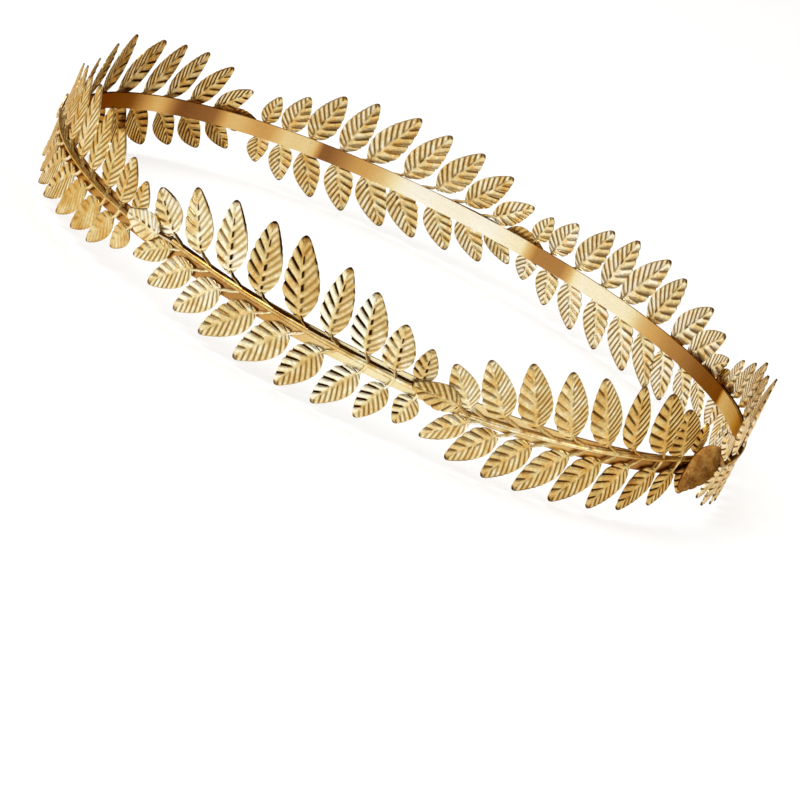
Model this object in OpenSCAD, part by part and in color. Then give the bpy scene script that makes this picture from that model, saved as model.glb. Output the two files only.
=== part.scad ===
// Leaf crown: a closed oval band with leaf sprays laid end to end along its outside.
// Each spray is one stamped and soldered piece: a round stem, pairs of leaves on short
// stalks, and one end leaf that lies over the foot of the next spray.
// +Z is up, the oval's long axis runs along X, and z = 0 is the plane that the lowest
// leaf tips rest on.

/* [Band] */
// Radius of the tighter bend at each end of the oval, to the middle of the band's thickness
end_bend_r = 84.75; // [84:0.05:90]
// How oval the band is: it is longer than it is wide by 24 times this
oval_step = 0.25; // [0.15:0.05:0.6]
// Height of the band
band_h = 4.2; // [3:0.1:5]
// Thickness of the band
band_t = 0.8; // [0.5:0.1:1]

/* [Sprays] */
// Thickness of the sheet that the leaves are stamped from
sheet_t = 0.5; // [0.4:0.05:0.6]
// Height of the stem's rib
stem_w = 1.7; // [1.2:0.1:2.2]
// How far the rib stands out from the back of the spray
stem_t = 1.2; // [1:0.1:1.3]
// Stem height at the foot of a spray, as a share of the full stem
foot_share = 0.7; // [0.6:0.05:1]
// Gap left between the band and a spray's solder spots
solder_gap = 0.08; // [0.05:0.01:0.15]
// Size of all leaves against the table below
leaf_size = 1; // [0.85:0.05:1.05]

/* [End leaf] */
// Length of the end leaf
end_leaf_l = 11.5; // [9:0.5:13]
// Width of the end leaf
end_leaf_w = 6; // [4.5:0.5:7]
// Room between the end leaf and the stem that it lies over
end_leaf_room = 0.15; // [0.1:0.05:0.4]

/* [Hidden] */

// One row for each spray, anticlockwise from above. Columns: where its tip is, in mm along
// the oval from the -X end; how long it is against a full spray; how far its stem lies
// above the middle of the band at its tip and at its foot; and how many degrees its leaves
// are turned about their midribs. Then the same spray's end leaf: how far beyond the tip
// it starts; how high; how many degrees it hangs down; its size against the others; how
// many degrees it is turned; and how far it is bent out.
START = 0; REACH = 1; TIP_RISE = 2; FOOT_RISE = 3; TURNED = 4;
END_ON = 5; END_RISE = 6; END_HANG = 7; END_SIZE = 8; END_TURNED = 9; END_AWAY = 10;
SPRAYS = [
    [147.2, 1.00,  2.3,  0.0, 0, -0.4,  1.8,  0, 1.0,   0, 0],
    [224.5, 0.99, -1.1,  2.5, 0, -1.1,  0.8,  0, 1.0,   0, 0],
    [309.0, 0.93, -0.2,  1.7, 0, 11.5,  6.6, 50, 1.25, 27, 1.6],
    [383.3, 1.02, -0.8,  1.3, 0,  1.5,  2.6,  0, 1.0,   0, 0],
    [462.0, 1.01,  1.6,  0.1, 0,    0,  1.2,  0, 1.0,   0, 0],
    [543.2, 1.02,  0.1,  0.2, 8,    0,  0.2,  0, 1.0,   0, 0],
    [ 71.7, 0.97,  1.8,  0.2, 0,  0.5,  1.6,  0, 1.0,   0, 0]
];

// One row for each pair of leaves, from the end leaf to the foot. AT is where the pair's
// stalks leave the stem, in mm from the start of the end leaf. Then five columns for the
// upper leaf and five for the lower one: how far its stalk runs along the stem, how far it
// rises from the stem, and the leaf's length, width and lean (degrees from the stem).
AT = 0; UP = 1; LOW = 6;
RUN = 0; LIFT = 1; LEN = 2; WIDE = 3; LEAN = 4;
PAIRS = [
    [ 7.6,   3.4,  1.3,   12,  6.3,   39,   2.9,  1.3, 11.7,  5.5,   33],
    [16.2,   4.2,  1.5, 14.9,  7.4,   53,   4.3,  2.1, 13.1,  6.9,   41],
    [25.0,   4.9,  1.5, 16.2,  7.8,   61,   4.9,  2.1, 13.4,  7.3,   48],
    [33.4,   4.5,  1.2, 16.8,  7.9,   65,   3.5,  2.2, 15.2,  7.4,   45],
    [42.0,   2.8,  1.3, 18.2,  8.2,   62,   3.3,  2.2,   15,    8,   49],
    [49.7,   3.3,  1.2,   16,  7.6,   75,   2.9,  2.1, 13.7,  7.5,   59],
    [56.7,   1.3,  1.3, 14.7,    8,   72,   0.8,  2.4, 13.1,    7,   56],
    [63.2,   0.6,    1, 11.3,  7.1,   75,   0.8,  2.4, 10.3,  6.3,   67],
    [69.2,   0.4,  1.5,  8.2,  5.3,   79,   0.2,  1.9,  7.6,  5.9,   72]
];
SPRAY_L = 71.5;   // from the start of the end leaf to the foot of the stem

// Outline of a leaf. Columns: share of its length, share of its half width.
OUTLINE = [[0, 0.15], [0.13, 0.64], [0.34, 1], [0.56, 0.93], [0.81, 0.5], [1, 0.05]];

// Stalks: half their width, and their thickness.
STALK_HALF = 0.5;
STALK_T = 0.8;

SHEET_OUT = band_t / 2 + solder_gap + 0.52;    // middle of the leaf sheet, out from the band's middle
STEM_BACK = band_t / 2 + solder_gap + 0.12;    // back of the stem's rib
END_OUT = STEM_BACK + stem_t * foot_share + end_leaf_room + sheet_t / 2;

// The oval is four arcs that meet in line: tight ones at the ends, wide ones at the sides.
// Their centres lie on the axes, at the corners of triangles with sides of 20, 21 and 29 steps.
R1 = end_bend_r;
R2 = R1 + 29 * oval_step;
C1 = 21 * oval_step;
C2 = 20 * oval_step;
TURN = atan2(20, 21);
ARC1 = R1 * TURN * PI / 180;
QUARTER = ARC1 + R2 * (90 - TURN) * PI / 180;
ROUND = 4 * QUARTER;
FULL = 556.1;     // the length round that the SPRAYS table is written for

// A point s mm round the oval and out mm outside its middle line: x, y and the angle that faces out.
function on_oval(s, out) =
    let (w = s - ROUND * floor(s / ROUND),
         q = floor(w / QUARTER),
         u = q % 2 == 0 ? w - q * QUARTER : (q + 1) * QUARTER - w,
         tight = u < ARC1,
         th = tight ? u / R1 * 180 / PI : TURN + (u - ARC1) / R2 * 180 / PI,
         x = tight ? -C1 - (R1 + out) * cos(th) : -(R2 + out) * cos(th),
         y = tight ? -(R1 + out) * sin(th) : C2 - (R2 + out) * sin(th))
    q == 0 ? [x, y, 180 + th] : q == 1 ? [-x, y, -th] : q == 2 ? [-x, -y, th] : [x, -y, 180 - th];

// A spray is laid on the wall as one straight piece: d mm from its tip towards its foot and
// h mm above its stem. These give the place round the oval and the height over the band's middle.
function tilt(spray) = asin((spray[TIP_RISE] - spray[FOOT_RISE]) / SPRAY_L);
function along(spray, d, h) = spray[START] / FULL * ROUND + d * cos(tilt(spray)) + h * sin(tilt(spray));
function rise(spray, d, h) = spray[TIP_RISE] - d * sin(tilt(spray)) + h * cos(tilt(spray));

// One section across a leaf, stalk or stem. c is its middle [s, z, out], lean is the way it
// runs and turned is its turn about that way; sec lists its corners [across, out], anticlockwise.
function section(c, lean, sec, turned = 0) = [
    for (p = sec)
        let (across = p[0] * cos(turned) - p[1] * sin(turned),
             out = p[0] * sin(turned) + p[1] * cos(turned),
             q = on_oval(c[0] - sin(lean) * across, c[2] + out))
        [q[0], q[1], c[1] - cos(lean) * across]
];
function plate(half, t) = [[half, t / 2], [-half, t / 2], [-half, -t / 2], [half, -t / 2]];
function flat(lists) = [for (l = lists) for (p = l) p];
function skin(n, m) = concat(
    [[for (j = [0 : m - 1]) j]],
    [[for (j = [m - 1 : -1 : 0]) (n - 1) * m + j]],
    [for (i = [0 : n - 2]) for (j = [0 : m - 1])
        for (f = [[i * m + j, (i + 1) * m + j, (i + 1) * m + (j + 1) % m],
                  [i * m + j, (i + 1) * m + (j + 1) % m, i * m + (j + 1) % m]]) f]);

// A leaf with its stalk. d is where the stalk leaves the stem, side is 1 for an upper leaf
// and -1 for a lower one, and dims holds the five columns of the table.
function leaf_points(spray, d, side, dims) =
    let (l = dims[LEN] * leaf_size, w = dims[WIDE] * leaf_size, lean = dims[LEAN],
         d0 = d * spray[REACH], turn = tilt(spray), way = atan2(dims[LIFT], dims[RUN]))
    flat(concat(
        [section([along(spray, d0 - 0.1, side * 0.15), rise(spray, d0 - 0.1, side * 0.15), SHEET_OUT],
                 side * way + turn, plate(STALK_HALF * 1.1, STALK_T))],
        [for (o = OUTLINE)
            let (d1 = d0 - dims[RUN] - cos(lean) * l * o[0], h1 = side * (dims[LIFT] + sin(lean) * l * o[0]))
            section([along(spray, d1, h1), rise(spray, d1, h1), SHEET_OUT], side * lean + turn,
                    plate(max(w / 2 * o[1], o[0] == 0 ? STALK_HALF * 0.9 : 0), sheet_t), spray[TURNED] * side)]));
module leaf(points) polyhedron(points, skin(len(OUTLINE) + 1, 4));

// Some leaves were bent or cut a little off the pattern by hand. Columns: spray; pair, counted
// from the tip; side (1 upper, -1 lower); how far back along the oval the leaf sits, in mm; how
// many degrees more it leans; and its length and width against the table above.
BENT = [
    [1, 1,  1, -0.5,  -6, 0.99, 1.25],
    [1, 3,  1,  0.3,   4, 1.02,    1],
    [1, 4,  1,    0,   7, 1.01,    1],
    [1, 5,  1,  0.1,   3, 1.03,    1],
    [1, 6,  1,  0.3,   3, 1.03,  0.9],
    [2, 1,  1, -0.2,   9, 0.96, 1.05],
    [2, 5,  1, -0.3,  -2, 0.99, 0.95],
    [2, 6,  1, -0.2,  -4, 1.06,  0.9],
    [2, 7,  1,  1.1,  -6, 1.12,  1.2],
    [2, 8,  1,    1, -11, 1.15,  1.4],
    [2, 9, -1,  0.8,   7, 0.95,  1.6],
    [3, 3,  1,  1.2,   6, 0.92, 0.95],
    [3, 6,  1,  1.7,  -1, 0.83,  1.2],
    [3, 7, -1,  1.8,  12, 1.05, 1.15],
    [3, 8, -1,  0.6,   6, 1.21,  1.1],
    [3, 9, -1,  1.7,   6, 1.19, 1.45],
    [4, 2,  1,  0.3,  -8, 1.05, 1.15],
    [4, 3,  1, -0.2,  -3,    1,  1.1],
    [4, 4,  1,  0.7,   7, 0.96,  1.1],
    [4, 5,  1,  0.9,   1, 1.02, 1.05],
    [4, 6,  1,    0,   3, 1.02, 1.05],
    [4, 8,  1,  0.7,   1, 0.97,    1],
    [4, 3, -1,  0.8,   5,    1, 1.15],
    [5, 4, -1,  0.7,   0, 0.98, 1.05],
    [6, 4,  1,  0.1,  -4, 1.03, 1.05],
    [6, 5,  1,  0.9,  -8, 1.04,  1.3],
    [6, 6,  1,  1.5,  -3, 1.08,  1.3],
    [6, 2, -1,  0.6,  -2,  0.9,    1],
    [6, 3, -1,  0.8,  -5, 0.92,    1],
    [6, 4, -1,  1.5,  -4, 0.95, 1.15],
    [7, 4, -1,  0.4,  -6, 1.12, 1.05],
    [7, 5, -1,  0.8,  -9, 1.07,    1],
    [7, 6, -1,  0.7, -11, 1.01,    1],
    [7, 7, -1, -0.2,  -7, 0.95, 1.05],
    [7, 8, -1, -0.5,  -9, 1.01,    1],
    [7, 9, -1, -0.8,  -7, 0.92,    1]
];
function columns(row, first) = [for (i = [0 : 4]) row[first + i]];
function bend_of(n, k, side) = concat([for (b = BENT) if (b[0] == n && b[1] == k && b[2] == side) b], [[n, k, side, 0, 0, 1, 1]])[0];
function leaf_of(n, k, side) =
    let (row = PAIRS[k - 1], dims = columns(row, side > 0 ? UP : LOW), b = bend_of(n, k, side))
    leaf_points(SPRAYS[n - 1], row[AT], side,
                [dims[RUN] - b[3], dims[LIFT], dims[LEN] * b[5], dims[WIDE] * b[6], dims[LEAN] + b[4]]);

// Height of the band's middle: the lowest leaf tip of all is at z = 0.
MID_Z = -min([for (n = [1 : len(SPRAYS)]) for (k = [1 : len(PAIRS)]) for (p = leaf_of(n, k, -1)) p[2]]);

// The stem: a half-round rib, lower at the foot so that the next end leaf clears it.
STEM_STEPS = 15;
function stem_section(w, t) = [[w / 2, 0], [w * 0.46, t * 0.5], [w * 0.25, t * 0.88], [0, t], [-w * 0.25, t * 0.88], [-w * 0.46, t * 0.5], [-w / 2, 0]];
module stem(spray) {
    rings = [for (i = [0 : STEM_STEPS])
        let (d = (SPRAY_L * (1 - i / STEM_STEPS) + 1.5 * i / STEM_STEPS) * spray[REACH],
             t = stem_t * (d > SPRAY_L - 14 ? foot_share : 1),
             w = stem_w * (d < 5 ? 0.75 : 1))
        section([along(spray, d, 0), rise(spray, d, 0), STEM_BACK], tilt(spray), stem_section(w, t))];
    polyhedron(flat(rings), skin(len(rings), 7));
}

// The end leaf steps out from the stem's tip, over the foot of the next spray.
module end_leaf(spray) {
    foot = 4 * spray[REACH];
    hang = spray[END_HANG];
    leaf(flat(concat(
        [section([along(spray, foot, 0), rise(spray, foot, 0), SHEET_OUT + 0.15], tilt(spray), plate(STALK_HALF, STALK_T))],
        [for (o = OUTLINE)
            let (l = end_leaf_l * spray[END_SIZE] * o[0], w = end_leaf_w * spray[END_SIZE] / 2 * o[1])
            section([along(spray, 0, 0) - spray[END_ON] - cos(hang) * l, spray[END_RISE] - sin(hang) * l, END_OUT + spray[END_AWAY]],
                    -hang, plate(max(w, o[0] == 0 ? STALK_HALF : 0), sheet_t), spray[END_TURNED])])));
}

// Solder spots between the stem and the band: flat oblong pads with round ends.
module solder(spray) for (d = [11.8, 20.6, 29.2, 37.6, 45.8, 53.2, 60, 65.6]) {
    at = d * spray[REACH];
    q = on_oval(along(spray, at, 0), band_t / 2 + solder_gap);
    translate([q[0], q[1], min(1.3, max(-1.3, rise(spray, at, 0)))]) rotate(q[2]) rotate([0, 90, 0])
        hull() for (y = [-0.9, 0.9]) translate([0, y, 0]) cylinder(r = 0.5, h = 0.4, $fn = 8);
}

module spray(n) color([0.83, 0.66, 0.36]) translate([0, 0, MID_Z]) {
    placed = SPRAYS[n - 1];
    stem(placed);
    for (k = [1 : len(PAIRS)]) for (side = [1, -1]) leaf(leaf_of(n, k, side));
    end_leaf(placed);
    solder(placed);
}

// The band: four arcs of one flat strip. Each is a ring cut to a wedge from its own centre.
WEDGE = 6;
module arc(r, corners) linear_extrude(band_h) intersection() {
    difference() {
        circle(r + band_t / 2, $fn = 240);
        circle(r - band_t / 2, $fn = 240);
    }
    polygon(concat([[0, 0]], WEDGE * corners));
}
module band() color([0.80, 0.60, 0.34]) translate([0, 0, MID_Z - band_h / 2]) {
    translate([C1, 0]) arc(R1, [[21, -20], [21, 20]]);
    translate([-C1, 0]) arc(R1, [[-21, 20], [-21, -20]]);
    translate([0, -C2]) arc(R2, [[21, 20], [-21, 20]]);
    translate([0, C2]) arc(R2, [[-21, -20], [21, -20]]);
}

band();
spray(1);  // spray_1
spray(2);  // spray_2
spray(3);  // spray_3
spray(4);  // spray_4
spray(5);  // spray_5
spray(6);  // spray_6
spray(7);  // spray_7
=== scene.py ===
import math
import bpy
import numpy as np
from mathutils import Matrix, Vector


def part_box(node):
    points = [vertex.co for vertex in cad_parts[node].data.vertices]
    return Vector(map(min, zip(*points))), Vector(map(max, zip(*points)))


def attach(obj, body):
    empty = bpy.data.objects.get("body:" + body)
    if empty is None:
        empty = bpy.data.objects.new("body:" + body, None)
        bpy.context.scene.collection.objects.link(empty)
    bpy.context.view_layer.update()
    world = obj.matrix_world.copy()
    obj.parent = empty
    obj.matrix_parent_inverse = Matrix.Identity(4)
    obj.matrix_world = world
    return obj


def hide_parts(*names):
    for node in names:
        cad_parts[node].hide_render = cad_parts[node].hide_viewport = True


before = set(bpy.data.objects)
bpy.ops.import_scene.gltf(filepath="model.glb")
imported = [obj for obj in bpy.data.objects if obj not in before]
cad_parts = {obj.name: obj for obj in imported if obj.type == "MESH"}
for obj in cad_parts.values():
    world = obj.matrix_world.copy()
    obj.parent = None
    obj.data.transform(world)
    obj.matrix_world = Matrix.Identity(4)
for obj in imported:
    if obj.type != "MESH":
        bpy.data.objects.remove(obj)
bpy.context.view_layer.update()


RNG = np.random.default_rng(7)
MM = 0.001
BAND_LO, BAND_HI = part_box("band")
MID_Z = (BAND_LO.z + BAND_HI.z) / 2 / MM

# ---------------------------------------------------------------- the wall: the same oval as the part's
R1, STEP = 84.75, 0.25
R2, C1, C2 = R1 + 29 * STEP, 21 * STEP, 20 * STEP
TURN = math.atan2(20, 21)
ARC1 = R1 * TURN
QUARTER = ARC1 + R2 * (math.pi / 2 - TURN)
ROUND = 4 * QUARTER
FULL = 556.1
BAND_H, BAND_T = 4.2, 0.8
SHEET_OUT = BAND_T / 2 + 0.08 + 0.52
STEM_BACK = BAND_T / 2 + 0.08 + 0.12
END_OUT = STEM_BACK + 1.2 * 0.7 + 0.15 + 0.25


def wall(s, z, out):
    """Points s mm round the oval, z mm over the band's middle and out mm outside its middle line, in metres."""
    s, z, out = np.broadcast_arrays(np.asarray(s, float), np.asarray(z, float), np.asarray(out, float))
    w = np.mod(s, ROUND)
    q = np.floor(w / QUARTER).astype(int) % 4
    u = np.where(q % 2 == 0, w - q * QUARTER, (q + 1) * QUARTER - w)
    tight = u < ARC1
    th = np.where(tight, u / R1, TURN + (u - ARC1) / R2)
    r = np.where(tight, R1, R2) + out
    x = np.where(tight, -C1, 0.0) - r * np.cos(th)
    y = np.where(tight, 0.0, C2) - r * np.sin(th)
    x = np.where((q == 1) | (q == 2), -x, x)
    y = np.where((q == 2) | (q == 3), -y, y)
    return np.stack([x * MM, y * MM, (z + MID_Z) * MM], -1)


# Sprays: tip place, length share, rise at tip and foot, leaf turn; end leaf: how far on, rise, hang, size, turn, bent out
SPRAYS = [
    (147.2, 1, 2.3, 0, 0, -0.4, 1.8, 0, 1, 0, 0),
    (224.5, 0.99, -1.1, 2.5, 0, -1.1, 0.8, 0, 1, 0, 0),
    (309, 0.93, -0.2, 1.7, 0, 11.5, 6.6, 50, 1.25, 27, 1.6),
    (383.3, 1.02, -0.8, 1.3, 0, 1.5, 2.6, 0, 1, 0, 0),
    (462, 1.01, 1.6, 0.1, 0, 0, 1.2, 0, 1, 0, 0),
    (543.2, 1.02, 0.1, 0.2, 8, 0, 0.2, 0, 1, 0, 0),
    (71.7, 0.97, 1.8, 0.2, 0, 0.5, 1.6, 0, 1, 0, 0),
]
# Leaf pairs: place on the stem; then run, lift, length, width, lean of the upper and of the lower leaf
PAIRS = [
    (7.6, (3.4, 1.3, 12, 6.3, 39), (2.9, 1.3, 11.7, 5.5, 33)),
    (16.2, (4.2, 1.5, 14.9, 7.4, 53), (4.3, 2.1, 13.1, 6.9, 41)),
    (25, (4.9, 1.5, 16.2, 7.8, 61), (4.9, 2.1, 13.4, 7.3, 48)),
    (33.4, (4.5, 1.2, 16.8, 7.9, 65), (3.5, 2.2, 15.2, 7.4, 45)),
    (42, (2.8, 1.3, 18.2, 8.2, 62), (3.3, 2.2, 15, 8, 49)),
    (49.7, (3.3, 1.2, 16, 7.6, 75), (2.9, 2.1, 13.7, 7.5, 59)),
    (56.7, (1.3, 1.3, 14.7, 8, 72), (0.8, 2.4, 13.1, 7, 56)),
    (63.2, (0.6, 1, 11.3, 7.1, 75), (0.8, 2.4, 10.3, 6.3, 67)),
    (69.2, (0.4, 1.5, 8.2, 5.3, 79), (0.2, 1.9, 7.6, 5.9, 72)),
]
# Leaves a little off the pattern: spray, pair, side; then mm back along the oval, more lean, length and width shares
BENT = {
    (1, 1, 1): (-0.5, -6, 0.99, 1.25),
    (1, 3, 1): (0.3, 4, 1.02, 1),
    (1, 4, 1): (0, 7, 1.01, 1),
    (1, 5, 1): (0.1, 3, 1.03, 1),
    (1, 6, 1): (0.3, 3, 1.03, 0.9),
    (2, 1, 1): (-0.2, 9, 0.96, 1.05),
    (2, 5, 1): (-0.3, -2, 0.99, 0.95),
    (2, 6, 1): (-0.2, -4, 1.06, 0.9),
    (2, 7, 1): (1.1, -6, 1.12, 1.2),
    (2, 8, 1): (1, -11, 1.15, 1.4),
    (2, 9, -1): (0.8, 7, 0.95, 1.6),
    (3, 3, 1): (1.2, 6, 0.92, 0.95),
    (3, 6, 1): (1.7, -1, 0.83, 1.2),
    (3, 7, -1): (1.8, 12, 1.05, 1.15),
    (3, 8, -1): (0.6, 6, 1.21, 1.1),
    (3, 9, -1): (1.7, 6, 1.19, 1.45),
    (4, 2, 1): (0.3, -8, 1.05, 1.15),
    (4, 3, 1): (-0.2, -3, 1, 1.1),
    (4, 4, 1): (0.7, 7, 0.96, 1.1),
    (4, 5, 1): (0.9, 1, 1.02, 1.05),
    (4, 6, 1): (0, 3, 1.02, 1.05),
    (4, 8, 1): (0.7, 1, 0.97, 1),
    (4, 3, -1): (0.8, 5, 1, 1.15),
    (5, 4, -1): (0.7, 0, 0.98, 1.05),
    (6, 4, 1): (0.1, -4, 1.03, 1.05),
    (6, 5, 1): (0.9, -8, 1.04, 1.3),
    (6, 6, 1): (1.5, -3, 1.08, 1.3),
    (6, 2, -1): (0.6, -2, 0.9, 1),
    (6, 3, -1): (0.8, -5, 0.92, 1),
    (6, 4, -1): (1.5, -4, 0.95, 1.15),
    (7, 4, -1): (0.4, -6, 1.12, 1.05),
    (7, 5, -1): (0.8, -9, 1.07, 1),
    (7, 6, -1): (0.7, -11, 1.01, 1),
    (7, 7, -1): (-0.2, -7, 0.95, 1.05),
    (7, 8, -1): (-0.5, -9, 1.01, 1),
    (7, 9, -1): (-0.8, -7, 0.92, 1),
}
SPRAY_L = 71.5

# ---------------------------------------------------------------- mesh building
class Build:
    """Collects closed sheets and rods of one spray, with their colour attributes: a tone that holds painted highlights
    as well as the plating's own tone, painted shade together with dark marks, and a rosy cast.
    """

    def __init__(self):
        self.co, self.faces, self.n = [], [], 0
        self.attr = {"recess": [], "tone": [], "warm": []}

    def add(self, co, faces, **attr):
        co = np.asarray(co, float).reshape(-1, 3)
        self.co.append(co)
        self.faces += [tuple(int(i) + self.n for i in f) for f in faces]
        self.n += len(co)
        for k in self.attr:
            v = np.broadcast_to(np.asarray(attr.get(k, 0.0), float), (len(co),))
            self.attr[k].append(v)

    def mesh(self, name, smooth_deg=48):
        me = bpy.data.meshes.new(name)
        me.from_pydata(np.concatenate(self.co).tolist(), [], self.faces)
        for k, v in self.attr.items():
            a = me.attributes.new(k, "FLOAT", "POINT")
            a.data.foreach_set("value", np.concatenate(v).astype(np.float32))
        me.validate()
        me.polygons.foreach_set("use_smooth", [True] * len(me.polygons))
        me.set_sharp_from_angle(angle=math.radians(smooth_deg))
        me.update()
        ob = bpy.data.objects.new(name, me)
        bpy.context.scene.collection.objects.link(ob)
        return ob


def strip(n, m, ids):
    """Quads of an n by m grid of point numbers."""
    return [(ids[i][j], ids[i + 1][j], ids[i + 1][j + 1], ids[i][j + 1]) for i in range(n - 1) for j in range(m - 1)]


# Outline of a leaf: share of length against share of half width, rounder than the plain solid's
OUT_T = np.array([0, .03, .08, .15, .24, .34, .45, .57, .69, .80, .89, .95, .98, 1.0])
OUT_W = np.array([.10, .25, .48, .73, .92, 1.0, .985, .90, .755, .575, .405, .27, .175, .045])
# How far the midrib's tip bends to the fine side, as a share of the leaf's length, of each spray's upper and lower leaves
SWEEP = [(.04, .065), (.03, .05), (.02, .03), (0, .03), (0, .03), (0, .02), (.03, .04)]
# Where each rib starts on the midrib and where it meets the edge, for the ribs of a full leaf
RIB_SHARE = np.linspace(0, 1, 8)
RIB_MID = np.array([0, .05, .14, .27, .43, .59, .77, 1.0])
RIB_EDGE = np.array([0, .08, .29, .48, .63, .77, .90, 1.0])
PHASES = (0.0, .10, .24, .40, .54, .62, .69, .80, .91, .97)
COLS = (0.0, .05, .12, .22, .38, .58, .76, .88, .96, 1.0)
GROOVE_AT = .80


def half_width(t):
    return np.interp(t, OUT_T, OUT_W)


def smooth_step(x):
    x = np.clip(x, 0, 1)
    return x * x * (3 - 2 * x)


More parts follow.
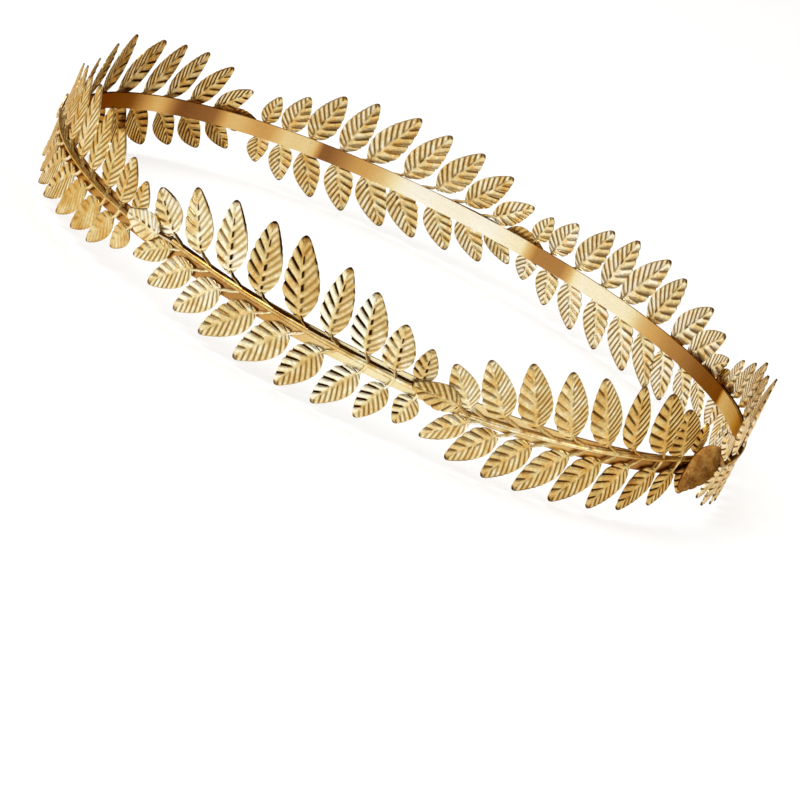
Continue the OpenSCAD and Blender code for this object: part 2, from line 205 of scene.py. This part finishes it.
def leaf_sheet(b, place, length, width, tone, bold=1, deep=.8, fine=.3, mid=.8, rim=.3, ribs=7, amp=0.2, thick=0.32, plain=False, bow=0.0, cup=0.2, sweep=0.0, many=1.5, lit=0.0, start=.12, bead=0.0, rosy=1.0, seed=0):
    """One pressed leaf. place(u, v, w) puts a point that is u mm along the midrib, v across and w out of the sheet.
    The half on the side v * bold > 0 has bold ribs with narrow grooves, the other half has twice as many fine ones.
    deep, fine and mid say how much painted shade darkens the grooves, the fine lines and the midrib's dashes, and rim
    how dark the far edge is.
    lit adds painted highlight to the bold ribs' crests, start is where their grooves begin, bead breaks the far edge up
    and rosy tints the plating."""
    rng = np.random.default_rng(1000 + seed)
    W = width / 2
    p = np.array([k + f for k in range(ribs) for f in PHASES] + [ribs])
    share = p / ribs
    tau = np.interp(share, RIB_SHARE, RIB_EDGE)
    t = np.interp(share, RIB_SHARE, RIB_MID)
    f = p - np.floor(p)
    rib_no = np.minimum(np.floor(p).astype(int), ribs - 1)
    # a bold rib is round and falls steeply into its groove; the last lobe has none
    g = np.exp(-((f - GROOVE_AT) / .10) ** 2)
    last = smooth_step((ribs - p) / 1.0)
    x = np.where(f < GROOVE_AT, (f + 1 - GROOVE_AT), f - GROOVE_AT)
    round_rib = np.sin(math.pi * np.clip(x, 0, 1)) ** .7
    bold_h = (round_rib * 1.0 - .35 - .45 * g) * (1 - smooth_step((p - ribs + .35) / .35))
    f2 = many * p - np.floor(many * p)
    fine_h = -.5 * np.cos(2 * math.pi * f2)
    fine_line = np.exp(-(np.minimum(f2, 1 - f2) / .24) ** 2)
    major = smooth_step((.34 - np.abs(f - .60)) / .14)
    jit = rng.uniform(-.07, .07, (2, ribs + 1))
    dashes = rng.uniform(.62, 1.1, ribs + 1)[rib_no]
    cuts = rng.uniform(.8, 1.1, ribs + 1)[rib_no]
    cols = [-c for c in COLS[:0:-1]] + list(COLS)
    nr, nc = len(p), len(cols)
    U, V, H = np.zeros((nr, nc)), np.zeros((nr, nc)), np.zeros((nr, nc))
    SHADE_MARKS, TONE, WARM = np.zeros((nr, nc)), np.zeros((nr, nc)), np.zeros((nr, nc))
    for j, c in enumerate(cols):
        q, is_bold = abs(c), c * bold > 0
        edge = smooth_step((q - .9) / .1)
        tip_fade = smooth_step((1 - tau) / .06)
        if is_bold:
            env = smooth_step((q - .10) / .22)
            wv = 1 + .075 * edge * bold_h * tip_fade
            h = amp * bold_h * env * (1 - .35 * edge)
            narrow = .195 * (.50 + .50 * smooth_step((q - .12) / .30))
            groove = smooth_step((narrow - np.abs(f - GROOVE_AT)) / .07) * smooth_step((q - start) / .12) * np.where(p > ribs - .5, 0, 1)
            # painted shade in the grooves
            shade_marks = deep * groove * cuts
            # the bold ribs' crests are painted lighter, a painted highlight that lit raises further
            TONE[:, j] = tone + jit[0][rib_no] + (.05 + lit * smooth_step(q / .4)) * round_rib - .03
            WARM[:, j] = .55 * rosy * (1 - 1.5 * lit)
        else:
            env = smooth_step(q / .25)
            wv = 1 + .03 * edge * fine_h * tip_fade
            h = amp * .42 * fine_h * env * (1 - .3 * edge) * tip_fade
            # painted shade in the fine lines, with dashes of it along the midrib
            shade_marks = fine * fine_line * smooth_step(q / .15) * (1 - .25 * edge)
            dash = mid * dashes * major * (1 - smooth_step((q - .14) / .14)) * last
            shade_marks = np.maximum(shade_marks, dash)
            line = rim * smooth_step((q - .84) / .12) * (smooth_step((tau - .42) / .3) * (1 - bead) + bead * smooth_step((tau - .1) / .2) * smooth_step((major - .3) / .4))
            shade_marks = np.maximum(shade_marks, line)
            # the fine ridges are painted lighter and their troughs darker: painted highlight and shade
            TONE[:, j] = tone + .03 + jit[1][rib_no] * .6 + (.08 + .25 * fine) * fine_h
            WARM[:, j] = .35 * rosy
        if q < .001:
            # painted shade in dashes along the midrib
            shade_marks = mid * dashes * major * .8 * last
            h = -.10 * amp * (1 + major * .6)
        spot = smooth_step((tau * (.35 + .65 * q) + t * .65 * (1 - q) - .945) / .045)
        shade_marks = np.maximum(shade_marks, spot * (.55 + .4 * rim))
        if plain:
            shade_marks, h = np.full(nr, .18) + .5 * (rim * edge), 0 * h
            TONE[:, j] = tone
        U[:, j] = (t + (tau - t) * q ** 1.2) * length
        V[:, j] = c * half_width(tau) * W * wv - bold * sweep * (U[:, j] / length) ** 2.2
        SHADE_MARKS[:, j] = shade_marks
        H[:, j] = h + cup * (1 - q ** 2) * half_width(tau) - .05 * q * half_width(tau)
    H += bow * (U / length) ** 2
    front, back = place(U, V, H + thick / 2), place(U, V, H - thick / 2)
    ids = np.arange(nr * nc).reshape(nr, nc)
    bid = ids + nr * nc
    i, j = nr // 2, nc // 2
    same = np.dot(np.cross(front[i + 1, j] - front[i, j], front[i, j + 1] - front[i, j]), front[i, j] - back[i, j]) > 0
    a, b2, c2, d2 = ids[:-1, :-1].ravel(), ids[1:, :-1].ravel(), ids[1:, 1:].ravel(), ids[:-1, 1:].ravel()
    A, B, C, D = bid[:-1, :-1].ravel(), bid[1:, :-1].ravel(), bid[1:, 1:].ravel(), bid[:-1, 1:].ravel()
    if same:
        quads = np.concatenate([np.stack([a, b2, c2, d2], 1), np.stack([D, C, B, A], 1)])
    else:
        quads = np.concatenate([np.stack([d2, c2, b2, a], 1), np.stack([A, B, C, D], 1)])
    loop = np.concatenate([np.stack([np.arange(nr), np.zeros(nr, int)], 1), np.stack([np.full(nc - 1, nr - 1), np.arange(1, nc)], 1),
                           np.stack([np.arange(nr - 2, -1, -1), np.full(nr - 1, nc - 1)], 1), np.stack([np.zeros(nc - 2, int), np.arange(nc - 2, 0, -1)], 1)])
    nxt = np.roll(loop, -1, 0)
    side = np.stack([ids[loop[:, 0], loop[:, 1]], bid[loop[:, 0], loop[:, 1]], bid[nxt[:, 0], nxt[:, 1]], ids[nxt[:, 0], nxt[:, 1]]], 1)
    quads = np.concatenate([quads, side if same else side[:, ::-1]])
    co = np.concatenate([front.reshape(-1, 3), back.reshape(-1, 3)])
    b.add(co, quads.tolist(), recess=np.tile(SHADE_MARKS.ravel(), 2), tone=np.tile(np.clip(TONE.ravel(), 0, 1.15), 2), warm=np.tile(WARM.ravel(), 2))


def rod(b, path, radius, tone, recess=0.1, flank=0.0, sides=10):
    """A round rod through path: rows of (s, z, out). radius is one number for each row, and flank paints shade on one
    side.
    """
    path = np.asarray(path, float)
    n = len(path)
    rad = np.broadcast_to(np.asarray(radius, float), (n,))
    P = wall(path[:, 0], path[:, 1], path[:, 2])
    T = np.gradient(P, axis=0); T /= np.linalg.norm(T, axis=1)[:, None]
    O = wall(path[:, 0], path[:, 1], path[:, 2] + 1.0) - P; O /= np.linalg.norm(O, axis=1)[:, None]
    N = np.cross(T, O); N /= np.linalg.norm(N, axis=1)[:, None]
    O = np.cross(N, T)
    ang = np.linspace(0, 2 * math.pi, sides, endpoint=False)
    rings = P[:, None] + MM * rad[:, None, None] * (np.cos(ang)[None, :, None] * N[:, None] + np.sin(ang)[None, :, None] * O[:, None])
    ids = np.arange(n * sides).reshape(n, sides)
    faces = []
    for i in range(n - 1):
        for j in range(sides):
            k = (j + 1) % sides
            faces.append((ids[i, j], ids[i, k], ids[i + 1, k], ids[i + 1, j]))
    faces.append(tuple(ids[0][::-1])); faces.append(tuple(ids[-1]))
    # outward test
    c = rings[1].mean(0); a0, a1, a2 = rings[1, 0], rings[1, 1], rings[2, 1]
    if np.dot(np.cross(a1 - a0, a2 - a1), a0 - c) < 0:
        faces = [f[::-1] for f in faces]
    shade_marks = np.broadcast_to(np.reshape(recess, (-1, 1)), (n, sides))
    shade_marks = np.maximum(shade_marks, abs(flank) * smooth_step(.5 + 2.2 * (np.cos(ang) * np.sign(flank) - .05))[None, :])
    b.add(rings, faces, recess=shade_marks.ravel(), tone=tone, warm=.4)


def make_spray(index):
    start, reach, tip, foot, turned, end_on, end_rise, end_hang, end_size, end_turn, end_away = SPRAYS[index]
    look = LOOKS[index]
    tilt = math.asin((tip - foot) / SPRAY_L)
    s0 = start / FULL * ROUND
    ct, st = math.cos(tilt), math.sin(tilt)

    def along(d, h): return s0 + d * ct + h * st
    def rise(d, h): return tip - d * st + h * ct

    def placer(base_s, base_z, base_out, A, turn, bend=0.0):
        ca, sa = math.cos(A), math.sin(A)
        cr, sr = math.cos(turn), math.sin(turn)
        def place(u, v, w):
            v2 = v * cr - w * sr
            w2 = v * sr + w * cr
            return wall(base_s - ca * u - sa * v2, base_z + sa * u - ca * v2, base_out + w2 + bend * u)
        return place

    b = Build()
    for k, (at, up, low) in enumerate(PAIRS):
        for side, dims in ((1, up), (-1, low)):
            run, lift, length, width, lean = dims
            back, more, longer, wider = BENT.get((index + 1, k + 1, side), (0, 0, 1, 1))
            run, lean, length, width = run - back, lean + more, length * longer, width * wider
            seed = index * 40 + k * 2 + (side < 0)
            r = np.random.default_rng(seed)
            d0 = at * reach
            A = math.radians(side * lean) + tilt
            bs, bz = along(d0 - run, side * lift), rise(d0 - run, side * lift)
            tone, deep, fine, mid, rim = look(k, side)
            tone += r.uniform(-.05, .05)
            ribs = 7 if length > 12 else 6 if length > 9 else 5
            leaf_sheet(b, placer(bs, bz, SHEET_OUT, A, math.radians(turned) * side, bend=r.uniform(-.006, .014)),
                       length * .975, width, tone, bold=side, deep=deep, fine=fine, mid=mid, rim=rim, ribs=ribs,
                       amp=(0.11 + 0.010 * width) * (.5 if index == 6 and side < 0 and k > 4 else 1), bow=r.uniform(-.1, .25), cup=.2, sweep=length * SWEEP[index][side < 0],
                       many=2.0 if index == 1 and side > 0 and k < 5 else 1.5, rosy=ROSY[index],
                       **(NEAR_UP[k] if side > 0 else NEAR_LOW[k]) if index == 0 else {}, seed=seed)
            # stalk: a round wire that tapers into the leaf; an upper leaf's stalk gets a little painted shade, more on
            # one flank, and a lower leaf's is a little paler
            n = 9
            q = np.linspace(0, 1, n)
            into = 1.5 * np.clip((q - .75) / .25, 0, 1)
            dd = d0 - run * q - np.cos(math.radians(lean)) * into
            hh = side * (lift * np.sin(q * math.pi / 2) ** 0.9 + np.sin(math.radians(lean)) * into)
            rod(b, np.stack([along(dd, hh), rise(dd, hh), SHEET_OUT + 0.02 + 0.12 * (1 - q)], -1),
                np.interp(q, [0, .3, .8, 1], [.50, .42, .40, .20]), min(tone, .8) + (.12 if side < 0 else 0), recess=.12 if side > 0 else 0,
                flank=rim * (1 if side > 0 else .0))
    # stem: a half-round rib, with painted shade on its upper flank where the light doesn't reach, and on its lower
    # flank
    n = 120
    d = np.linspace(SPRAY_L, 1.5, n) * reach
    low_t = np.interp(d, [0, 5, SPRAY_L - 17, SPRAY_L - 13, SPRAY_L], [.95, 1, 1, .7, .68])
    wid = np.interp(d, [0, 4, 8, 60, SPRAY_L - 1, SPRAY_L], [.62, .74, .85, .85, .80, .5]) * (1, .82, 1, 1, 1, .85, .72)[index]
    tone, foot_tone, up_shade, low_shade = look("stem", 0)
    stem_tone = np.interp(d / reach, [0, 34, 56, 72], [tone, tone, foot_tone, foot_tone])
    prof = np.array([(1.0, 0, low_shade), (1.0, .30, low_shade), (.88, .60, low_shade * .8), (.66, .85, .05), (.36, .98, 0), (.05, 1.0, 0), (-.22, .98, 0),
                     (-.40, .92, 0), (-.60, .80, up_shade), (-.80, .60, up_shade), (-.95, .32, up_shade), (-1.0, 0, up_shade)])
    # across +1 is the lower flank and -1 the upper one
    cols = [(along(d, -a * wid), rise(d, -a * wid), STEM_BACK + 1.2 * low_t * o) for a, o, _ in prof]
    P = wall(*[np.stack([c[i] for c in cols], 1) for i in range(3)])
    m = len(prof)
    ids = np.arange(n * m).reshape(n, m)
    faces = [(ids[i, j], ids[i, (j + 1) % m], ids[i + 1, (j + 1) % m], ids[i + 1, j]) for i in range(n - 1) for j in range(m)]
    faces += [tuple(ids[0][::-1]), tuple(ids[-1])]
    if np.dot(np.cross(P[5, 6] - P[5, 5], P[6, 6] - P[5, 6]), P[5, 5] - P[5].mean(0)) < 0:
        faces = [f[::-1] for f in faces]
    # the painted shadow line is widest where a stalk leaves the stem and thins out towards the foot
    since = np.min([np.where(d - at * reach > -.3, d - at * reach, 99) for at, _, _ in PAIRS], 0)
    line = np.interp(since, [0, 2, 8, 99], [.42, .52, .80, .80])[:, None]
    across = prof[None, :, 0]
    mark = look("mark", 0)
    shade_marks = np.where(across < 0, up_shade * smooth_step((-across - line) / .16 + .5), low_shade * smooth_step((across - .80) / .16 + .5))
    shade_marks = np.maximum(shade_marks, mark * np.exp(-((since - .6) / .8) ** 2)[:, None] * smooth_step((.15 - across) / .3))
    b.add(P, faces, recess=shade_marks.ravel(), tone=np.repeat(stem_tone, m), warm=.7)
    # end leaf
    tone, deep, fine, mid, rim = look("end", 0)
    A = -math.radians(end_hang)
    leaf_sheet(b, placer(along(0, 0) - end_on, end_rise, END_OUT + end_away + 0.08, A, math.radians(end_turn)),
               11.5 * end_size, 6.1 * end_size, tone, deep=deep, fine=fine, mid=mid, rim=rim, ribs=6, amp=.17, cup=.15, plain=(index == 2), seed=index + 500)
    n = 9
    q = np.linspace(0, 1, n)
    f0 = 4 * reach
    e_s, e_z, e_o = along(0, 0) - end_on, end_rise, END_OUT + end_away
    ss = along(f0, 0) + (e_s - math.cos(A) * 2.2 - along(f0, 0)) * q
    zz = rise(f0, 0) + (e_z + math.sin(A) * 2.2 - rise(f0, 0)) * smooth_step(q)
    oo = SHEET_OUT + 0.3 + (e_o - SHEET_OUT - 0.3) * smooth_step(q)
    # the end leaf's stalk: a little painted shade all over, more on one flank
    rod(b, np.stack([ss, zz, oo], -1), np.interp(q, [0, .6, 1], [.6, .5, .25]), tone, recess=.2, flank=rim)
    # solder behind the stem
    for dd in (11.8, 20.6, 29.2, 37.6, 45.8, 53.2, 60, 65.6):
        at = dd * reach
        zc = min(1.3, max(-1.3, rise(at, 0)))
        q = np.linspace(-1, 1, 7)
        rod(b, np.stack([along(at, 0) + 1.25 * q, np.full(7, zc), np.full(7, 0.86)], -1), 0.36 * np.sqrt(np.clip(1.04 - q ** 2, .02, 1)), 0.3, recess=.65, sides=8)
    return b


# How each spray's plating looks: tone from brown (0) to cream (1), then how much painted shade darkens its grooves,
# fine lines and midrib, and how dark its edge is.
# k is the pair, counted from the tip, or "stem" (tone, tone at the foot, painted shade on the upper flank, painted
# shade on the lower flank), "mark" (dark at the joints) or "end".
def near_left(k, side):
    if k == "stem": return .60, .88, 1.0, .0
    if k == "mark": return 0
    if k == "end": return .93, .35, .30, .7, .8
    if side > 0:
        return (.86, .87, .82, .69, .62, .60, .76, .72, .68)[k], (.35, .30, .60, .92, 1.0, 1.0, .95, .75, .7)[k], .42, .9, (.8, .75, .9, 1.0, .9, .7, .6, .6, .6)[k]
    return (.80, .82, .78, .76, .74, .74, .73, .72, .69)[k], (.30, .50, .60, .65, .75, 1.0, 1.0, 1.0, .9)[k], .58, .35, .35


def near_right(k, side):
    if k == "stem": return .88, .30, .15, .10
    if k == "mark": return .5
    if k == "end": return .62, .5, .6, .5, .5
    if side > 0:
        return .78 - .030 * k - (.09 if k > 4 else 0), .42 + .05 * k, .52 + .045 * k, .50, .35
    return .75 - .035 * k, .55 + .04 * k, .50 + .03 * k, .5, .55


def right_end(k, side):
    if k == "stem": return .4, .4, .8, .5
    if k == "mark": return .4
    if k == "end": return .27, .2, .2, .2, .7
    return .92, .58, .6, .6, .6


def far_right(k, side):
    if k == "stem": return .5, .5, .5, .5
    if k == "mark": return .4
    if k == "end": return .6, .5, .55, .5, .5
    return .88, .56, .66, .6, .5


def far_left(k, side):
    if k == "stem": return .5, .5, .5, .5
    if k == "mark": return .4
    if k == "end": return .6, .5, .5, .5, .5
    return .82 - .010 * k, .64, .66, .62, .45


def left_back(k, side):
    if k == "stem": return .3, .3, .7, .7
    if k == "mark": return .4
    if k == "end": return .35, .6, .5, .6, .6
    return .66 if side > 0 else .46, .80, .85, .75, .6


def left_front(k, side):
    if k == "stem": return .62, .62, .4, .1
    if k == "mark": return .4
    if k == "end": return .85, .3, .4, .5, .5
    if side < 0 and k > 4: return .64, .12, .20, .1, .4
    return .66 + .015 * (8 - k), .5, .55, .5, .55


# The near left spray's leaves, where ribs with painted highlights stand between grooves in painted shade, and how rosy
# each spray's plating is
NEAR_UP = [dict(), dict(), dict(lit=.1), dict(lit=.08), dict(lit=.1, bead=.6), dict(lit=.32, bead=.8), dict(lit=.45, bead=1.0),
           dict(lit=.1, start=.55, bead=1.0), dict(start=.4, bead=.8)]
NEAR_LOW = [dict(), dict(lit=.08), dict(lit=.12), dict(lit=.05), dict(lit=.12), dict(lit=.28), dict(lit=.36), dict(lit=.26, bead=.8), dict(lit=.08, bead=1.0)]
ROSY = (1.0, 1.1, 1.5, 1.2, 1.5, 1.3, 1.6)
LOOKS = [near_left, near_right, right_end, far_right, far_left, left_back, left_front]

# ---------------------------------------------------------------- materials
def new_mat(name):
    m = bpy.data.materials.new(name)
    m.use_nodes = True
    nt = m.node_tree
    bsdf = nt.nodes.get("Principled BSDF")
    return m, nt, bsdf


def node(nt, kind, **props):
    n = nt.nodes.new(kind)
    for k, v in props.items():
        setattr(n, k, v)
    return n


def ramp(nt, stops, interp="EASE"):
    r = nt.nodes.new("ShaderNodeValToRGB")
    r.color_ramp.interpolation = interp
    while len(r.color_ramp.elements) < len(stops):
        r.color_ramp.elements.new(0.5)
    for e, (pos, col) in zip(r.color_ramp.elements, stops):
        e.position = pos
        e.color = (*col, 1)
    return r


def mix(nt, a, b, fac, blend="MIX"):
    m = nt.nodes.new("ShaderNodeMix")
    m.data_type = "RGBA"
    m.blend_type = blend
    for sock, v in ((m.inputs[0], fac), (m.inputs[6], a), (m.inputs[7], b)):
        if hasattr(v, "is_output"):
            nt.links.new(v, sock)
        elif isinstance(v, (tuple, list)):
            sock.default_value = (*v, 1)
        else:
            sock.default_value = v
    return m.outputs[2]


def math_node(nt, op, a, b=None, clamp=False):
    m = nt.nodes.new("ShaderNodeMath")
    m.operation = op
    m.use_clamp = clamp
    for sock, v in ((m.inputs[0], a), (m.inputs[1], b)):
        if v is None:
            continue
        if hasattr(v, "is_output"):
            nt.links.new(v, sock)
        else:
            sock.default_value = v
    return m.outputs[0]


def noise_node(nt, coord, scale, detail=3, rough=0.5, dist=0.0):
    n = nt.nodes.new("ShaderNodeTexNoise")
    n.inputs["Scale"].default_value = scale
    n.inputs["Detail"].default_value = detail
    n.inputs["Roughness"].default_value = rough
    n.inputs["Distortion"].default_value = dist
    nt.links.new(coord, n.inputs["Vector"])
    return n.outputs["Fac"]


def attr(nt, name):
    a = nt.nodes.new("ShaderNodeAttribute")
    a.attribute_name = name
    return a.outputs["Fac"]


GOLD = [(0.0, (.12, .044, .010)), (.20, (.27, .124, .030)), (.40, (.52, .302, .082)), (.60, (.68, .478, .168)), (.80, (.80, .672, .345)),
        (.94, (.95, .885, .61)), (1.0, (1.0, .98, .82))]


def leaf_material():
    m, nt, bsdf = new_mat("pressed_gold")
    coord = node(nt, "ShaderNodeTexCoord").outputs["Object"]
    tone, shade_marks, warm = attr(nt, "tone"), attr(nt, "recess"), attr(nt, "warm")
    cloud = noise_node(nt, coord, 300, 3, .55, .4)
    fine = noise_node(nt, coord, 1500, 3, .6)
    t1 = math_node(nt, "ADD", tone, math_node(nt, "MULTIPLY", math_node(nt, "SUBTRACT", cloud, 0.5), 0.75))
    t2 = math_node(nt, "ADD", t1, math_node(nt, "MULTIPLY", math_node(nt, "SUBTRACT", fine, 0.5), 0.55), clamp=True)
    r = ramp(nt, GOLD, "LINEAR")
    nt.links.new(t2, r.inputs[0])
    # a rosy cast in patches, stronger on the bold half of a leaf
    pink = noise_node(nt, coord, 520, 2, .5, .5)
    pf = math_node(nt, "MULTIPLY", math_node(nt, "MULTIPLY", math_node(nt, "SUBTRACT", pink, 0.40), 4.2), warm, clamp=True)
    c1 = mix(nt, r.outputs[0], mix(nt, r.outputs[0], (1.0, .74, .42), 1.0, "MULTIPLY"), pf)
    d0 = math_node(nt, "ADD", shade_marks, math_node(nt, "MULTIPLY", math_node(nt, "SUBTRACT", fine, 0.5), 0.35))
    dr = ramp(nt, [(0.06, (0, 0, 0)), (.34, (.24, .24, .24)), (.60, (.72, .72, .72)), (.82, (1, 1, 1))], "LINEAR")
    nt.links.new(d0, dr.inputs[0])
    # painted shade in the recesses: where it is light it turns the gold orange-brown, where it is deep nearly black
    c1 = mix(nt, c1, mix(nt, c1, (1.0, .70, .38), 1.0, "MULTIPLY"), dr.outputs[0])
    c2 = mix(nt, c1, (.026, .008, .002), dr.outputs[0])
    nt.links.new(c2, bsdf.inputs["Base Color"])
    bsdf.inputs["Metallic"].default_value = 1.0
    bsdf.inputs["Specular Tint"].default_value = (.80, .62, .42, 1)
    rr = ramp(nt, [(0.0, (.20, .20, .20)), (1.0, (.40, .40, .40))], "LINEAR")
    nt.links.new(cloud, rr.inputs[0])
    ro = mix(nt, rr.outputs[0], (.6, .6, .6), dr.outputs[0])
    nt.links.new(ro, bsdf.inputs["Roughness"])
    bump = node(nt, "ShaderNodeBump")
    bump.inputs["Strength"].default_value = 0.4
    bump.inputs["Distance"].default_value = 0.00012
    nt.links.new(fine, bump.inputs["Height"])
    nt.links.new(bump.outputs[0], bsdf.inputs["Normal"])
    return m


def band_material():
    m, nt, bsdf = new_mat("satin_gold_band")
    coord = node(nt, "ShaderNodeTexCoord").outputs["Object"]
    sep = node(nt, "ShaderNodeSeparateXYZ")
    nt.links.new(coord, sep.inputs[0])
    turn = math_node(nt, "FRACT", math_node(nt, "ADD", math_node(nt, "DIVIDE", math_node(nt, "ARCTAN2", sep.outputs[1], sep.outputs[0]), 2 * math.pi), 1.0))
    # painted light and shade along the band: slow changes of tone, alike over its height
    shade = ramp(nt, [(p, (v, v, v)) for p, v in BAND_PAINTED_LIGHT], "EASE")
    nt.links.new(turn, shade.inputs[0])
    flat = node(nt, "ShaderNodeCombineXYZ")
    nt.links.new(sep.outputs[0], flat.inputs[0])
    nt.links.new(sep.outputs[1], flat.inputs[1])
    slow = noise_node(nt, flat.outputs[0], 45, 2, .55, .3)
    fine_line = node(nt, "ShaderNodeMapping")
    fine_line.inputs["Scale"].default_value = (40, 40, 1500)
    nt.links.new(coord, fine_line.inputs[0])
    brushed = noise_node(nt, fine_line.outputs[0], 3, 3, .6)
    speck = noise_node(nt, coord, 1100, 3, .6)
    s1 = math_node(nt, "ADD", shade.outputs[0], math_node(nt, "MULTIPLY", math_node(nt, "SUBTRACT", slow, .5), .30))
    s2 = math_node(nt, "ADD", s1, math_node(nt, "MULTIPLY", math_node(nt, "SUBTRACT", brushed, .5), .12), clamp=True)
    r = ramp(nt, [(0, (.085, .024, .008)), (.18, (.22, .083, .022)), (.38, (.46, .225, .062)), (.55, (.66, .378, .112)), (.70, (.77, .55, .225)), (.85, (.92, .80, .46)), (1.0, (1, .95, .80))], "LINEAR")
    nt.links.new(s2, r.inputs[0])
    c = mix(nt, r.outputs[0], (.30, .13, .04), math_node(nt, "MULTIPLY", math_node(nt, "SUBTRACT", speck, .60), 1.2, clamp=True))
    nt.links.new(c, bsdf.inputs["Base Color"])
    bsdf.inputs["Metallic"].default_value = 1.0
    bsdf.inputs["Specular Tint"].default_value = (.60, .38, .20, 1)
    rr = ramp(nt, [(.3, (.24, .24, .24)), (.7, (.40, .40, .40))], "LINEAR")
    nt.links.new(brushed, rr.inputs[0])
    nt.links.new(rr.outputs[0], bsdf.inputs["Roughness"])
    bump = node(nt, "ShaderNodeBump")
    bump.inputs["Strength"].default_value = 0.12
    bump.inputs["Distance"].default_value = 0.00006
    nt.links.new(brushed, bump.inputs["Height"])
    nt.links.new(bump.outputs[0], bsdf.inputs["Normal"])
    return m


# Painted light along the band against its share of a turn from +X: brown painted shade where it turns from the light,
# pale painted reflections where it faces it
BAND_PAINTED_LIGHT = [(0.0, .30), (.03, .15), (.122, .38), (.142, .70), (.163, .76), (.168, .17), (.190, .17), (.216, .40), (.238, .57), (.257, .90),
             (.287, .90), (.297, .36), (.313, .33), (.320, .85), (.342, 1.0), (.379, 1.0), (.404, .55), (.425, .22), (.431, .78),
             (.444, .76), (.455, .52), (.475, .65), (.486, .22), (.503, .16), (.520, .62), (.545, .12), (.74, .46), (.81, .44), (.865, .88), (.90, .80), (.94, .70), (1.0, .30)]
LEAF = leaf_material()
BAND = band_material()

# ---------------------------------------------------------------- the pieces
for i in range(len(SPRAYS)):
    ob = make_spray(i).mesh(f"leaf_spray_{i + 1}")
    ob.data.materials.append(LEAF)
    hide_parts(f"spray_{i + 1}")
    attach(ob, "root")
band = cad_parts["band"]
band.data.materials.clear()
band.data.materials.append(BAND)

# ---------------------------------------------------------------- camera
EL, AZ, ROLL, SCALE, U0, V0, DIST = 0.238414775, 0.725834430, 0.447090492, 377.875039, 403.755794, 274.769992, 10.0
UNIT = 0.09
right = np.array([math.cos(AZ), math.sin(AZ), 0.0])
ahead = np.array([-math.sin(AZ) * math.cos(EL), math.cos(AZ) * math.cos(EL), -math.sin(EL)])
down = np.cross(ahead, right)
cr, sr = math.cos(ROLL), math.sin(ROLL)
right2, down2 = cr * right - sr * down, sr * right + cr * down
f_px = SCALE * DIST
d = np.array([(U0 - 400) / f_px, (V0 - 400) / f_px, 1.0]); d /= np.linalg.norm(d)
v = np.cross([0, 0, 1.0], d)
K = np.array([[0, -v[2], v[1]], [v[2], 0, -v[0]], [-v[1], v[0], 0]])
R = np.eye(3) + K + K @ K * ((1 - d[2]) / (v @ v))
M = R @ np.stack([right2, down2, ahead])
rot = Matrix(((M[0][0], -M[1][0], -M[2][0]), (M[0][1], -M[1][1], -M[2][1]), (M[0][2], -M[1][2], -M[2][2])))
pos = Vector((-DIST * UNIT * ahead[0], -DIST * UNIT * ahead[1], -DIST * UNIT * ahead[2] + MID_Z * MM))
cam_data = bpy.data.cameras.new("camera")
cam_data.sensor_width = 36
cam_data.lens = f_px * 36 / 800
cam_data.clip_start = 0.01
cam_data.clip_end = 50
cam = bpy.data.objects.new("camera", cam_data)
cam.matrix_world = Matrix.Translation(pos) @ rot.to_4x4()
bpy.context.scene.collection.objects.link(cam)
bpy.context.scene.camera = cam

# ---------------------------------------------------------------- stage and light
floor_me = bpy.data.meshes.new("floor")
floor_me.from_pydata([(-6, -6, 0), (6, -6, 0), (6, 6, 0), (-6, 6, 0)], [], [(0, 1, 2, 3)])
floor = bpy.data.objects.new("floor", floor_me)
bpy.context.scene.collection.objects.link(floor)
floor.location.z = -0.0002
fm, fnt, fb = new_mat("pale_floor")
fb.inputs["Base Color"].default_value = (.45, .45, .45, 1)
fb.inputs["Roughness"].default_value = 0.9
fb.inputs["Specular IOR Level"].default_value = 0.0
fb.inputs["Emission Color"].default_value = (1, 1, 1, 1)
fb.inputs["Emission Strength"].default_value = 0.60
floor_me.materials.append(fm)

# a studio that is bright overhead and dim at eye level
world = bpy.data.worlds.new("studio")
bpy.context.scene.world = world
world.use_nodes = True
wnt = world.node_tree
bg = wnt.nodes["Background"]
wsep = wnt.nodes.new("ShaderNodeSeparateXYZ")
wnt.links.new(wnt.nodes.new("ShaderNodeTexCoord").outputs["Generated"], wsep.inputs[0])
wr = ramp(wnt, [(0.0, (.30, .26, .22)), (.30, (.22, .17, .13)), (.55, (.35, .32, .28)), (.80, (1.0, .98, .95)), (1.0, (1.1, 1.1, 1.1))], "EASE")
wnt.links.new(wsep.outputs[2], wr.inputs[0])
wnt.links.new(wr.outputs[0], bg.inputs[0])
bg.inputs[1].default_value = 0.9


def area(name, loc, target, size, power, color=(1, 1, 1), size_y=None):
    li = bpy.data.lights.new(name, "AREA")
    li.shape = "RECTANGLE"
    li.size = size
    li.size_y = size_y or size
    li.energy = power
    li.color = color
    ob = bpy.data.objects.new(name, li)
    ob.location = loc
    ob.rotation_euler = (Vector(target) - Vector(loc)).to_track_quat("-Z", "Y").to_euler()
    bpy.context.scene.collection.objects.link(ob)
    return ob


def seen_from(side, height, depth):
    """A place side m to the camera's right, height m up and depth m beyond the crown's middle."""
    h = np.array([ahead[0], ahead[1], 0]); h /= np.linalg.norm(h)
    p = right * side + h * depth
    return (p[0], p[1], height)


area("key", seen_from(-0.7, 0.9, -0.5), (0, 0, 0.02), 0.6, 5)
area("fill", seen_from(0.9, 0.5, -0.4), (0, 0, 0.02), 0.4, 2, (1, .97, .93))
area("top", seen_from(0.0, 1.3, 0.4), (0, 0, 0.02), 0.9, 4)

bpy.context.scene.view_settings.view_transform = "Standard"
bpy.context.scene.view_settings.look = "None"
